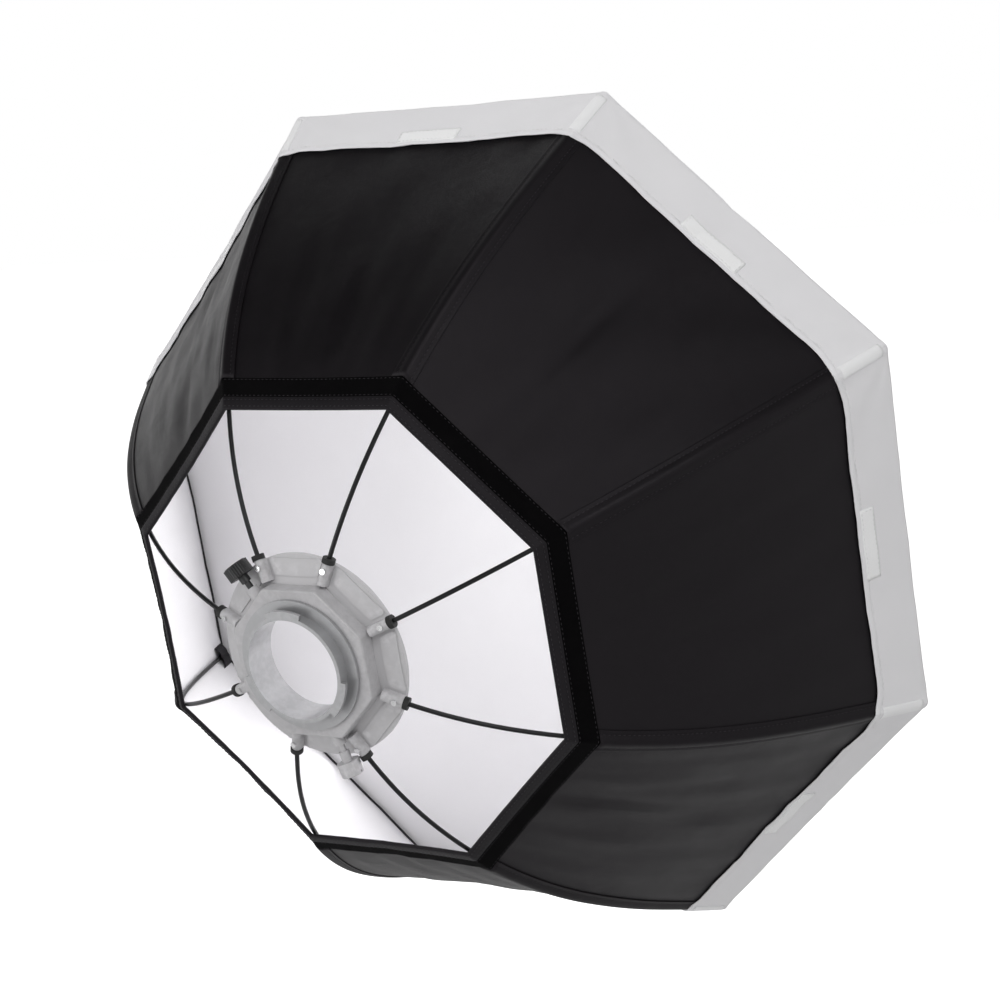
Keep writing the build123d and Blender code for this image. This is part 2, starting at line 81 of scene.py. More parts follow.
class SoftboxSizes(bpy.types.PropertyGroup):
    """Sizes of the cloth and where it lies on the rods."""

    root_radius: length("Root radius", "Radius where a rod leaves its socket", 0.103)
    root_axial: length("Root axial", "Axial place where a rod leaves its socket", 0.021)
    tip_radius: length("Tip radius", "Radius of a rod's front end", 0.4615)
    tip_axial: length("Tip axial", "Axial place of a rod's front end", 0.391)
    rod_bend: FloatProperty(
        name="Rod bend", description="Turn of a rod between its ends", default=radians(50.4), subtype="ANGLE"
    )
    rod_arcs: IntProperty(name="Rod arcs", description="Arcs in a bent rod", default=5, min=2)
    opening: length("Opening", "Distance along a rod to the edge of the rear opening", 0.148)
    overhang: length("Overhang", "Shell past the rods' front ends", 0.009)
    hem_width: length("Hem width", "Hem round the rear opening", 0.012)
    band_width: length("Band width", "Hook-and-loop band beside the hem", 0.020)
    sleeve_width: length("Sleeve width", "Half the width of the tape over a seam", 0.011)
    skirt_width: length("Skirt width", "Diffuser folded back over the shell", 0.058)
    tab_length: length("Tab length", "Closure patch along the rim", 0.070)
    tab_width: length("Tab width", "Closure patch across the skirt", 0.017)
    pocket_width: length("Pocket width", "Half the width of a front corner pocket", 0.013)
    pocket_length: length("Pocket length", "Corner pocket along its rod", 0.034)
    sag: length("Panel sag", "How far a panel draws in between its rods", 0.0052)
    crease: length("Crease depth", "Fold left down a panel by packing", 0.0030)
    fan: length("Corner folds", "Folds that run from the front corners", 0.0013)
    ripple: length("Ripple", "Slack in the cloth", 0.0007)


class SoftboxColours(bpy.types.PropertyGroup):
    """Linear colours of the cloths and finishes."""

    shell: tint("Shell", "Black coated nylon", (0.0030, 0.0023, 0.0031))
    tape: tint("Tape", "Black woven tape", (0.0062, 0.0056, 0.0066))
    band: tint("Band", "Black hook-and-loop", (0.0014, 0.0012, 0.0015))
    lining: tint("Lining", "White reflecting cloth", (0.90, 0.893, 0.907))
    diffuser: tint("Diffuser", "White diffusing cloth", (0.86, 0.853, 0.868))
    tab: tint("Tab", "White closure patch", (0.93, 0.93, 0.935))
    ring: tint("Ring", "Satin grey of the speedring", (0.50, 0.492, 0.505))
    bright: tint("Bright", "Plated screws and rivets", (0.72, 0.72, 0.73))
    insert: tint("Insert", "Machined aluminium", (0.42, 0.42, 0.43))
    rod: tint("Rod", "Black spring wire", (0.012, 0.012, 0.013))
    rubber: tint("Rubber", "Black rubber", (0.010, 0.010, 0.010))
    knob: tint("Knob", "Black knurled knob", (0.016, 0.016, 0.017))
    pad: tint("Pad", "Natural nylon pad", (0.78, 0.75, 0.66))


# Layers outside the rods' centre lines: outer face and thickness.
LINING = (4.36 * MM, 0.6 * MM)
SHELL = (5.86 * MM, 1.2 * MM)
TAPE = (6.96 * MM, 0.8 * MM)
HEM_FACE = 7.16 * MM
SKIRT = (8.06 * MM, 0.8 * MM)
TAB = (9.36 * MM, 1.0 * MM)
LAYER_GAP = 0.3 * MM
SEAM_RIB = 1.1 * MM         # height of the seam allowance under the tape
SEAM_RIB_WIDTH = 4.2 * MM
BINDING_WIDTH = 6.5 * MM
BROW = 3.0 * MM             # how far the cap's front edge is rounded
FLAT_COLUMNS = 41           # columns across one panel, closest at its seams
SHELL_ROWS = 84
SEAM_TURN = 1.6 * MM        # how near a seam the cloth bends round its rod
TAPE_THREADS = 700.0        # threads a metre
STITCH = (3.3 * MM, 4.8 * MM, 0.42 * MM)    # length, spacing and half width

# Slack in a panel: widths are shares of half the panel, reaches are lengths from a corner.
SAG_AT_EDGES = 0.30
FOLD_WIDTH = 0.07
SHOULDER_WIDTH = 0.09
SHOULDER_OFFSET = 0.42
SHOULDER_SHARE = 0.35
FAN_REACH = 0.085
PULL_REACH = 0.05
PULL_SPACING = 0.011
PULL_SHARE = 0.6
CALM_AT_SEAM = 0.018
HELD_AT_HEM = 0.22          # share of a panel's length over which the hem stiffens it
HELD_AT_RIM = 0.78
FREE_AT_HEM = 0.15
FREE_AT_RIM = 0.40

# Skirt, cap and patches.
SKIRT_ROWS = 22
CORNER_DIP = 8.0 * MM       # how far the skirt's edge runs forward at a corner
CORNER_REACH = 32.0 * MM
SKIRT_GATHER = (0.35 * MM, 21.0 * MM)       # height and spacing
HEM_GATHER = (0.25 * MM, 13.0 * MM)
HEM_ROLL = (3.4 * MM, 0.85 * MM)            # half the width and half the thickness of the skirt's hem
FRONT_SAG = 5.0 * MM
FRONT_WAVE = 0.8 * MM
FRONT_SPOKE = 1.6 * MM
PATCH_INSET = 4.0 * MM
PATCH_BEVEL = 0.35 * MM
PATCH_SEWING = 1.8 * MM

# How each panel creases: place of the fold across the panel, its drift towards the rim, its strength.
FOLDS = (
    (0.10, 0.04, 0.6),
    (-0.22, 0.14, 1.5),
    (0.22, 0.06, 0.4),
    (-0.20, 0.12, 0.8),
    (0.05, -0.06, 0.7),
    (0.15, 0.05, 0.9),
    (-0.08, 0.10, 0.6),
    (0.12, -0.08, 0.9),
)


class Canopy:
    """The surface that all layers of cloth follow, from the rods' line and the slack in each panel."""

    def __init__(self, sizes):
        self.sizes = sizes
        count = sizes.rod_arcs
        self.turns = [sizes.rod_bend * (2 * (count - i) - 1) / count**2 for i in range(count)]
        self.rod_length, self.root_heading = 1.0, 0.0
        self.start = (0.0, 0.0)
        unit_radius, unit_axial = (float(x) for x in self.rod(1.0)[:2])
        across = sizes.tip_radius - sizes.root_radius
        along = sizes.tip_axial - sizes.root_axial
        self.rod_length = hypot(across, along) / hypot(unit_radius, unit_axial)
        self.root_heading = np.arctan2(along, across) - np.arctan2(unit_axial, unit_radius)
        self.start = (sizes.root_radius, sizes.root_axial)
        self.rim = self.rod_length + sizes.overhang
        self.skirt_edge = self.rim - sizes.skirt_width

    def rod(self, distance):
        """Radius, axial place and heading at a distance along a rod: arcs, and straight past both ends."""
        left = np.array(distance, float)
        step = self.rod_length / len(self.turns)
        heading = np.full(left.shape, float(self.root_heading))
        behind = np.minimum(left, 0.0)
        radius = self.start[0] + behind * np.cos(heading)
        axial = self.start[1] + behind * np.sin(heading)
        left = left - behind
        for turn in self.turns:
            run = np.minimum(left, step)
            part = turn * run / step
            chord = run * np.sinc(part / 2 / pi)
            radius = radius + chord * np.cos(heading + part / 2)
            axial = axial + chord * np.sin(heading + part / 2)
            heading = heading + part
            left = left - run
        return radius + left * np.cos(heading), axial + left * np.sin(heading), heading

    def half_width(self, distance):
        """Half the width of a panel at a distance along the rods."""
        return self.rod(distance)[0] * sin(HALF_SIDE)

    def slack(self, panel, across, distance):
        """How far the cloth stands outwards of the tight surface, which it meets at the seams."""
        sizes = self.sizes
        share = np.clip((distance - sizes.opening) / (self.rim - sizes.opening), 0.0, 1.0)
        window = 1.0 - across**2
        fold = np.array(FOLDS)[panel % SIDES]
        sag = -sizes.sag * window * (SAG_AT_EDGES + (1.0 - SAG_AT_EDGES) * np.sin(pi * share))
        line = across - fold[..., 0] - fold[..., 1] * share
        crease = -sizes.crease * fold[..., 2] * np.exp(-np.abs(line) / FOLD_WIDTH) * window**0.5
        second = across + fold[..., 0] + SHOULDER_OFFSET * np.sign(fold[..., 1])
        shoulder = SHOULDER_SHARE * sizes.crease * np.exp(-np.abs(second) / SHOULDER_WIDTH)
        crease = crease + shoulder * window * share
        aside = (1.0 - np.abs(across)) * self.half_width(distance)
        ahead = self.rim - distance
        reach = np.hypot(aside, ahead)
        bearing = np.arctan2(aside, np.abs(ahead) + 0.004)
        calm = np.clip(aside / CALM_AT_SEAM, 0.0, 1.0)
        fan = np.sin(9.0 * bearing + 1.7 * panel + np.sign(across))
        fan = sizes.fan * np.exp(-reach / FAN_REACH) * fan * calm
        behind = np.hypot(aside, distance - sizes.opening)
        pull = PULL_SHARE * sizes.fan * np.exp(-behind / PULL_REACH) * np.sin(aside / PULL_SPACING + panel)
        pull = pull * calm
        wide = across * (2.3 + 0.2 * panel)
        ripple = np.sin(5.1 * wide + 9.0 * share + 2.1 * panel) + np.sin(3.1 * wide - 14.0 * share + panel)
        ripple = ripple + 0.6 * np.sin(11.0 * wide + 5.0 * share + 0.7 * panel)
        free = np.clip(share / HELD_AT_HEM, 0.0, 1.0)
        free = FREE_AT_HEM + (1.0 - FREE_AT_HEM) * free * free * (3.0 - 2.0 * free)
        free = free * (1.0 - (1.0 - FREE_AT_RIM) * np.clip((share - HELD_AT_RIM) / 0.2, 0.0, 1.0))
        return sag + free * (crease + fan + pull + sizes.ripple * window * ripple)

    def points(self, panel, across, distance, outwards, lean=0.0):
        """Points of a layer. across runs from -1 to 1 between two rods, and lean turns round a rod."""
        panel, across, distance, outwards, lean = np.broadcast_arrays(panel, across, distance, outwards, lean)
        radius, axial, heading = self.rod(distance)
        out = outwards + self.slack(panel, across, distance)
        middle = FIRST_CORNER + HALF_SIDE * (2 * panel + 1)
        radial = out * np.sin(heading) * cos(HALF_SIDE)
        side = radius * across * sin(HALF_SIDE)
        flat = radius * cos(HALF_SIDE)
        x = flat * np.cos(middle) - side * np.sin(middle) + radial * np.cos(middle + lean)
        z = flat * np.sin(middle) + side * np.cos(middle) + radial * np.sin(middle + lean)
        return np.stack([x, out * np.cos(heading) - axial, z], axis=-1)

    def ring(self, distance, outwards):
        """Rows of points round the shell, their cloth coordinates, and each column's panel and place."""
        spread = np.sin(np.linspace(-pi / 2, pi / 2, FLAT_COLUMNS))
        across = np.concatenate([[-1.0, -1.0], spread, [1.0]])
        lean = np.concatenate([[-HALF_SIDE, -HALF_SIDE / 2], np.zeros(FLAT_COLUMNS), [HALF_SIDE / 2]])
        panel = np.repeat(np.arange(SIDES), len(across))
        across, lean = np.tile(across, SIDES), np.tile(lean, SIDES)
        distance = np.broadcast_to(as_rows(distance), (len(as_rows(distance)), len(panel)))
        outwards = np.broadcast_to(as_rows(outwards), distance.shape)
        cloth = np.stack([0.5 * panel + across * self.half_width(distance), distance], axis=-1)
        return self.points(panel, across, distance, outwards, lean), cloth, panel, across

    def seam(self, corner, aside, distance, outwards, turned=False):
        """Rows of points over one seam. aside holds distances from it, negative on the panel before it."""
        aside = np.asarray(aside, float)[None, :]
        distance = as_rows(distance)
        panel = np.where(aside < 0, corner - 1, corner)
        across = np.where(aside < 0, 1.0, -1.0) * (1.0 - np.abs(aside) / self.half_width(distance))
        turn = np.abs(aside).max() if turned else SEAM_TURN
        bend = np.clip(1.0 - np.abs(aside) / turn, 0.0, 1.0)
        lean = np.where(aside < 0, HALF_SIDE, -HALF_SIDE) * bend
        cloth = np.stack(np.broadcast_arrays(aside, distance), axis=-1)
        return self.points(panel, across, distance, outwards, lean), cloth


def as_rows(values):
    """A column of values, one for each row of points."""
    values = np.asarray(values, float)
    return values if values.ndim == 2 else np.atleast_1d(values)[:, None]


def seam_rib(aside):
    """How far cloth stands up over the seam allowance, at a distance from the seam."""
    return SEAM_RIB * np.exp(-((aside / SEAM_RIB_WIDTH) ** 2))


# ---- meshes ----
def grid_faces(rows, columns, wrap_rows=False, wrap_columns=False):
    """Four-sided faces of a grid of points whose front is outwards."""
    index = np.arange(rows * columns).reshape(rows, columns)
    if wrap_columns:
        index = np.concatenate([index, index[:, :1]], axis=1)
    if wrap_rows:
        index = np.concatenate([index, index[:1]], axis=0)
    corners = [index[:-1, 1:], index[1:, 1:], index[1:, :-1], index[:-1, :-1]]
    return np.stack(corners, axis=-1).reshape(-1, 4)


def make_mesh(name, points, faces, cloth=None):
    """A smooth mesh, with cloth coordinates in metres where they are given."""
    mesh = bpy.data.meshes.new(name)
    mesh.from_pydata(np.asarray(points).reshape(-1, 3).tolist(), [], [list(face) for face in faces])
    if cloth is not None:
        layer = mesh.uv_layers.new(name="cloth")
        corners = np.zeros(len(mesh.loops), np.int32)
        mesh.loops.foreach_get("vertex_index", corners)
        layer.data.foreach_set("uv", np.asarray(cloth, np.float32).reshape(-1, 2)[corners].ravel())
    mesh.validate()
    mesh.shade_smooth()
    return mesh


def add_piece(name, mesh, material, replaces=(), thickness=0.0):
    """Puts a mesh in the scene as a piece that rides on the softbox, thickened inwards where asked."""
    piece = bpy.data.objects.new(name, mesh)
    bpy.context.scene.collection.objects.link(piece)
    mesh.materials.append(material)
    if thickness:
        solid = piece.modifiers.new("thickness", "SOLIDIFY")
        solid.thickness = thickness
        solid.offset = -1.0
        solid.use_even_offset = False
        solid.use_quality_normals = True
    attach(piece, BODY)
    if replaces:
        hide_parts(*replaces)
    return piece


def ring_sheet(name, canopy, distance, outwards, material, thickness, replaces=()):
    """A sheet right round the shell."""
    points, cloth = canopy.ring(distance, outwards)[:2]
    faces = grid_faces(*points.shape[:2], wrap_columns=True)
    return add_piece(name, make_mesh(name, points, faces, cloth), material, replaces, thickness)


def ring_tube(name, canopy, outline, material, replaces=()):
    """A closed outline of distance and outwards places, carried right round the shell."""
    distance, outwards = np.array(outline).T
    points, cloth = canopy.ring(distance, outwards)[:2]
    faces = grid_faces(*points.shape[:2], wrap_rows=True, wrap_columns=True)
    return add_piece(name, make_mesh(name, points, faces, cloth), material, replaces)


def folded_edge(edge, depth, outer, inner, thickness, towards=1):
    """Outline of a tape folded round an edge. towards is 1 where the cloth lies forward of the edge."""
    skin = thickness / 2
    middle, reach = (outer + inner) / 2, (outer - inner) / 2
    bend = [pi / 2 + pi * step / 8 for step in range(9)]

    def turn(along, out):
        return [(edge + towards * along * cos(a), middle + out * sin(a)) for a in bend]

    outside = turn(reach * 0.6, reach)
    inside = turn(reach * 0.6 - thickness, reach - thickness)
    far = edge + towards * depth
    lips = [(far, inner), (far + towards * skin, inner + skin), (far, inner + thickness)]
    back = [(far, outer - thickness), (far + towards * skin, outer - skin), (far, outer)]
    return outside + lips + inside[::-1] + back


def stitches(name, lines, material):
    """Short raised stitches along lines, each an array of points with the cloth's outward directions."""
    span, pitch, half = STITCH
    corners, faces = [], []
    around = np.arange(6) * pi / 3
    fan = [(0, 2 + i, 2 + (i + 1) % 6) for i in range(6)] + [(1, 2 + (i + 1) % 6, 2 + i) for i in range(6)]
    for points, outwards in lines:
        run = np.concatenate([[0.0], np.cumsum(np.linalg.norm(np.diff(points, axis=0), axis=1))])
        for place in np.arange(pitch / 2, run[-1] - pitch / 2, pitch):
            at = [np.array([np.interp(p, run, points[:, i]) for i in range(3)])
                  for p in (place - span / 2, place + span / 2, place)]
            up = np.array([np.interp(place, run, outwards[:, i]) for i in range(3)])
            along = at[1] - at[0]
            along /= max(np.linalg.norm(along), 1e-9)
            aside = np.cross(along, up)
            aside /= max(np.linalg.norm(aside), 1e-9)
            ring = [at[2] + half * (cos(a) * aside + (0.55 * sin(a) + 0.35) * up) for a in around]
            base = len(corners)
            corners += [at[0], at[1], *ring]
            faces += [tuple(base + i for i in face) for face in fan]
    return add_piece(name, make_mesh(name, np.array(corners), faces), material)


def outward_line(make, outwards):
    """A line of points and their outward directions, from a function of the outwards place."""
    low, high = make(outwards), make(outwards + MM)
    up = high - low
    return low, up / np.linalg.norm(up, axis=-1, keepdims=True)


def ring_line(canopy, distance, outwards):
    """A closed line round the shell for stitches."""
    points, up = outward_line(lambda out: canopy.ring([distance], [out])[0][0], outwards)
    return np.concatenate([points, points[:1]]), np.concatenate([up, up[:1]])


def seam_line(canopy, corner, aside, start, end, outwards):
    """A line beside a seam for stitches."""
    distance = np.linspace(start, end, 60)
    return outward_line(lambda out: canopy.seam(corner, [aside], distance, out)[0][:, 0], outwards)


# ---- shader nodes ----
class Net:
    """Adds nodes to a tree, sets their sockets and links them."""

    def __init__(self, tree):
        self.tree = tree

    def add(self, kind, values=None, **settings):
        node = self.tree.nodes.new(kind)
        for key, value in settings.items():
            setattr(node, key, value)
        for key, value in (values or {}).items():
            if isinstance(value, bpy.types.NodeSocket):
                self.tree.links.new(value, node.inputs[key])
            else:
                node.inputs[key].default_value = value
        return node

    def math(self, operation, *values):
        return self.add("ShaderNodeMath", dict(enumerate(values)), operation=operation).outputs[0]

    def noise(self, vector, scale, detail=3.0, roughness=0.55):
        values = {"Vector": vector, "Scale": scale, "Detail": detail, "Roughness": roughness}
        return self.add("ShaderNodeTexNoise", values).outputs["Fac"]

    def ramp(self, value, low, high, to_low=0.0, to_high=1.0):
        values = {"Value": value, "From Min": low, "From Max": high, "To Min": to_low, "To Max": to_high}
        return self.add("ShaderNodeMapRange", values).outputs["Result"]

    def blend(self, factor, first, second):
        node = self.add("ShaderNodeMix", data_type="RGBA")
        for index, value in ((0, factor), (6, first), (7, second)):
            if isinstance(value, bpy.types.NodeSocket):
                self.tree.links.new(value, node.inputs[index])
            else:
                node.inputs[index].default_value = value if index == 0 else (*value[:3], 1.0)
        return node.outputs[2]


def effect(name, inputs, outputs, build):
    """A shader node group with named sockets, built once."""
    if name in bpy.data.node_groups:
        return bpy.data.node_groups[name]
    tree = bpy.data.node_groups.new(name, "ShaderNodeTree")
    for title, kind, value in inputs:
        socket = tree.interface.new_socket(title, in_out="INPUT", socket_type=kind)
        if value is not None:
            socket.default_value = value
    for title in outputs:
        tree.interface.new_socket(title, in_out="OUTPUT", socket_type="NodeSocketFloat")
    net = Net(tree)
    made = build(net, net.add("NodeGroupInput").outputs)
    net.add("NodeGroupOutput", dict(zip(outputs, made)))
    return tree


VECTOR, NUMBER = "NodeSocketVector", "NodeSocketFloat"


def weave_group():
    """Crossed threads of a plain weave: their height, and a mask of the gaps between them."""

    def build(net, given):
        scaled = net.add("ShaderNodeVectorMath", {0: given["Vector"]}, operation="SCALE")
        net.tree.links.new(given["Threads"], scaled.inputs["Scale"])
        parts = net.add("ShaderNodeSeparateXYZ", {0: scaled.outputs[0]}).outputs
        first = net.math("SINE", net.math("MULTIPLY", parts[0], 2 * pi))
        second = net.math("SINE", net.math("MULTIPLY", parts[1], 2 * pi))
        height = net.math("MULTIPLY_ADD", net.math("MULTIPLY", first, second), 0.5, 0.5)
        return height, net.math("SUBTRACT", 1.0, height)

    inputs = [("Vector", VECTOR, None), ("Threads", NUMBER, 1200.0)]
    return effect("plain weave", inputs, ["Height", "Gaps"], build)


def crumple_group():
    """Soft creases left in cloth by packing: their height, and a cloudy tone."""

    def build(net, given):
        broad = net.noise(given["Vector"], 9.0, 2.0)
        fine = net.noise(given["Vector"], 46.0, 4.0, 0.6)
        ridge = net.math("ABSOLUTE", net.math("SUBTRACT", net.noise(given["Vector"], 21.0, 2.0), 0.5))
        height = net.math("ADD", net.math("MULTIPLY", broad, 0.8), net.math("MULTIPLY", fine, 0.25))
        height = net.math("SUBTRACT", height, net.math("MULTIPLY", ridge, 0.7))
        return height, net.math("ADD", net.math("MULTIPLY", broad, 0.6), net.math("MULTIPLY", fine, 0.4))

    return effect("packing creases", [("Vector", VECTOR, None)], ["Height", "Tone"], build)


def dust_group():
    """Lint and dust that gather on cloth and housings, as a mask."""

    def build(net, given):
        cloud = net.ramp(net.noise(given["Vector"], 14.0, 5.0, 0.7), 0.45, 0.8)
        speck = net.ramp(net.noise(given["Vector"], 900.0, 2.0), 0.70, 0.78)
        total = net.math("ADD", net.math("MULTIPLY", cloud, 0.5), speck)
        return (net.math("MULTIPLY", total, given["Amount"]),)

    return effect("lint and dust", [("Vector", VECTOR, None), ("Amount", NUMBER, 0.1)], ["Mask"], build)


def grain_group():
    """Fine grain of paint, casting or moulding: its height, and how it varies the gloss."""

    def build(net, given):
        fine = net.noise(given["Vector"], given["Scale"], 3.0)
        broad = net.noise(given["Vector"], 14.0, 2.0)
        return fine, net.math("ADD", net.math("MULTIPLY", broad, 0.7), net.math("MULTIPLY", fine, 0.3))

    inputs = [("Vector", VECTOR, None), ("Scale", NUMBER, 1400.0)]
    return effect("fine grain", inputs, ["Height", "Gloss"], build)


def wear_group():
    """Wear along convex edges, broken up by noise, as a mask."""

    def build(net, given):
        edge = net.ramp(net.add("ShaderNodeNewGeometry").outputs["Pointiness"], 0.515, 0.58)
        broken = net.ramp(net.noise(given["Vector"], 160.0, 4.0), 0.40, 0.62)
        return (net.math("MULTIPLY", net.math("MULTIPLY", edge, broken), given["Amount"]),)

    return effect("edge wear", [("Vector", VECTOR, None), ("Amount", NUMBER, 0.5)], ["Mask"], build)


def new_material(name):
    """A fresh material: its net, its shader and its object coordinates."""
    material = bpy.data.materials.new(name)
    material.use_nodes = True
    net = Net(material.node_tree)
    shader = material.node_tree.nodes["Principled BSDF"]
    return material, net, shader, net.add("ShaderNodeTexCoord").outputs["Object"]


def shaded(colour, share):
    """A colour made lighter or darker, and never over white."""
    return [min(1.0, channel * share) for channel in colour]


def use_group(net, group, **values):
    node = net.add("ShaderNodeGroup", node_tree=group)
    for key, value in values.items():
        if isinstance(value, bpy.types.NodeSocket):
            net.tree.links.new(value, node.inputs[key])
        else:
            node.inputs[key].default_value = value
    return node.outputs


def bump(net, shader, height, distance, strength=1.0):
    node = net.add("ShaderNodeBump", {"Height": height, "Distance": distance, "Strength": strength})
    net.tree.links.new(node.outputs["Normal"], shader.inputs["Normal"])


def cloth_material(
    name, colour, threads=1100.0, rough=0.55, gloss=0.5, sheen=0.0, dust=0.0, crease=1.0, lift=0.5
):
    """Woven cloth. lift is how much lighter its tone gets where the cloudy noise that also raises its creases
    is high.
    """
    material, net, shader, place = new_material(name)
    cloth = net.add("ShaderNodeUVMap", uv_map="cloth").outputs[0]
    weave = use_group(net, weave_group(), Vector=cloth, Threads=threads)
    fold = use_group(net, crumple_group(), Vector=place)
    lint = use_group(net, dust_group(), Vector=place, Amount=dust)
    tone = net.ramp(fold["Tone"], 0.35, 0.65)
    shade = net.blend(tone, colour, shaded(colour, 1.0 + lift))
    # Darker down into the weave's gaps, to half the colour: painted shade between the threads.
    shade = net.blend(net.math("MULTIPLY", weave["Gaps"], 0.25), shade, shaded(colour, 0.5))
    shade = net.blend(lint["Mask"], shade, (0.45, 0.44, 0.43))
    net.tree.links.new(shade, shader.inputs["Base Color"])
    polish = net.ramp(fold["Tone"], 0.3, 0.7, rough - 0.06, rough + 0.08)
    net.tree.links.new(polish, shader.inputs["Roughness"])
    shader.inputs["Specular IOR Level"].default_value = gloss
    shader.inputs["Specular Tint"].default_value = (1.0, 0.93, 1.0, 1.0)
    shader.inputs["Sheen Weight"].default_value = sheen
    shader.inputs["Sheen Roughness"].default_value = 0.35
    height = net.math("MULTIPLY_ADD", fold["Height"], 8.0 * crease, weave["Height"])
    bump(net, shader, height, 0.00010)
    return material


def fleece_material(name, colour, scale, dust, depth=0.0006):
    """Hook-and-loop cloth: a close pile with no gloss."""
    material, net, shader, place = new_material(name)
    pile = use_group(net, grain_group(), Vector=place, Scale=scale)
    lint = use_group(net, dust_group(), Vector=place, Amount=dust)
    shade = net.blend(pile["Height"], shaded(colour, 0.85), shaded(colour, 1.1))
    shade = net.blend(lint["Mask"], shade, (0.4, 0.39, 0.38))
    net.tree.links.new(shade, shader.inputs["Base Color"])
    net.tree.links.new(net.ramp(pile["Gloss"], 0.3, 0.7, 0.85, 1.0), shader.inputs["Roughness"])
    shader.inputs["Specular IOR Level"].default_value = 0.06
    bump(net, shader, pile["Height"], depth)
    return material


def hard_material(
    name, colour, metal=0.0, rough=0.4, grain=1400.0, depth=0.00004, wear=0.4, dust=0.05
):
    """Painted, plated, machined or moulded finish with wear on its edges."""
    material, net, shader, place = new_material(name)
    texture = use_group(net, grain_group(), Vector=place, Scale=grain)
    edge = use_group(net, wear_group(), Vector=place, Amount=wear)
    lint = use_group(net, dust_group(), Vector=place, Amount=dust)
    lighter = [min(1.0, channel * 1.5 + 0.02) for channel in colour]
    shade = net.blend(net.ramp(texture["Gloss"], 0.3, 0.7), shaded(colour, 0.97), colour)
    shade = net.blend(edge["Mask"], shade, lighter)
    shade = net.blend(lint["Mask"], shade, (0.42, 0.41, 0.40))
    net.tree.links.new(shade, shader.inputs["Base Color"])
    shader.inputs["Metallic"].default_value = metal
    polish = net.ramp(texture["Gloss"], 0.3, 0.7, rough - 0.03, rough + 0.04)
    net.tree.links.new(polish, shader.inputs["Roughness"])
    bump(net, shader, texture["Height"], depth)
    return material


# ---- operators ----
class CanopyOperator:
    """What the operators share: the sizes, the colours and the canopy's surface."""

    bl_options = {"REGISTER", "UNDO"}

    def execute(self, context):
        self.sizes = context.scene.softbox_sizes
        self.colours = context.scene.softbox_colours
        self.canopy = Canopy(self.sizes)
        self.build()
        return {"FINISHED"}

    def gore_area(self, start, end):
        """Flat area of eight gores between two distances along the rods."""
        places = np.linspace(start, end, 200)
        return float(2 * SIDES * self.canopy.half_width(places).mean() * (end - start))


class SOFTBOX_OT_shell(CanopyOperator, bpy.types.Operator):
    """Builds the black shell and the white lining inside it."""

    bl_idname = "softbox.shell"
    bl_label = "Shell and lining"

    def build(self):
        canopy, sizes = self.canopy, self.sizes
        places = np.linspace(sizes.opening, canopy.rim, SHELL_ROWS)
        black = cloth_material(
            "shell_cloth", self.colours.shell, rough=0.40, gloss=0.21, sheen=0.012, dust=0.003, lift=0.4
        )
        white = cloth_material(
            "lining_cloth", self.colours.lining, rough=0.62, gloss=0.35, crease=0.8, lift=0.02
        )
        panels = [f"shell_panel_{number}" for number in range(1, SIDES + 1)]
        shell = ring_sheet("shell", canopy, places, SHELL[0], black, SHELL[1], panels)
        lining = ring_sheet(
            "reflecting_lining", canopy, places, LINING[0], white, LINING[1], ["lining"]
        )
        rim_length = 2 * SIDES * float(canopy.half_width(canopy.rim))
        for sheet in (shell, lining):
            self.gore_area(sizes.opening, canopy.rim)


class SOFTBOX_OT_rear_edge(CanopyOperator, bpy.types.Operator):
    """Builds the folded hem round the rear opening and the hook-and-loop band beside it."""

    bl_idname = "softbox.rear_edge"
    bl_label = "Hem and band"

    def build(self):
        canopy, sizes = self.canopy, self.sizes
        tape = cloth_material(
            "hem_tape", self.colours.tape, threads=TAPE_THREADS, rough=0.6, gloss=0.2, sheen=0.01, dust=0.01
        )
        pile = fleece_material("band_pile", self.colours.band, 1900.0, 0.01)
        edge = sizes.opening + 0.2 * MM
        inner = LINING[0] - LINING[1] - 0.55 * MM
        outline = folded_edge(edge, sizes.hem_width, HEM_FACE, inner, 0.5 * MM)
        ring_tube("opening_hem", canopy, outline, tape, ["rear_hem"])
        start = sizes.opening + sizes.hem_width + LAYER_GAP
        stop = start + sizes.band_width
        places = np.linspace(start, stop, 9)
        band = ring_sheet("loop_band", canopy, places, TAPE[0], pile, TAPE[1], ["hook_band"])
        length_round = 2 * SIDES * float(canopy.half_width((start + stop) / 2))
        thread = cloth_material("black_thread", shaded(self.colours.tape, 1.6), rough=0.5, gloss=0.4)
        rows = [sizes.opening + 2.6 * MM, sizes.opening + 9.4 * MM]
        lines = [ring_line(canopy, row, HEM_FACE) for row in rows]
        lines += [ring_line(canopy, row, TAPE[0]) for row in (start + 1.6 * MM, stop - 1.6 * MM)]
        stitches("hem_stitches", lines, thread)


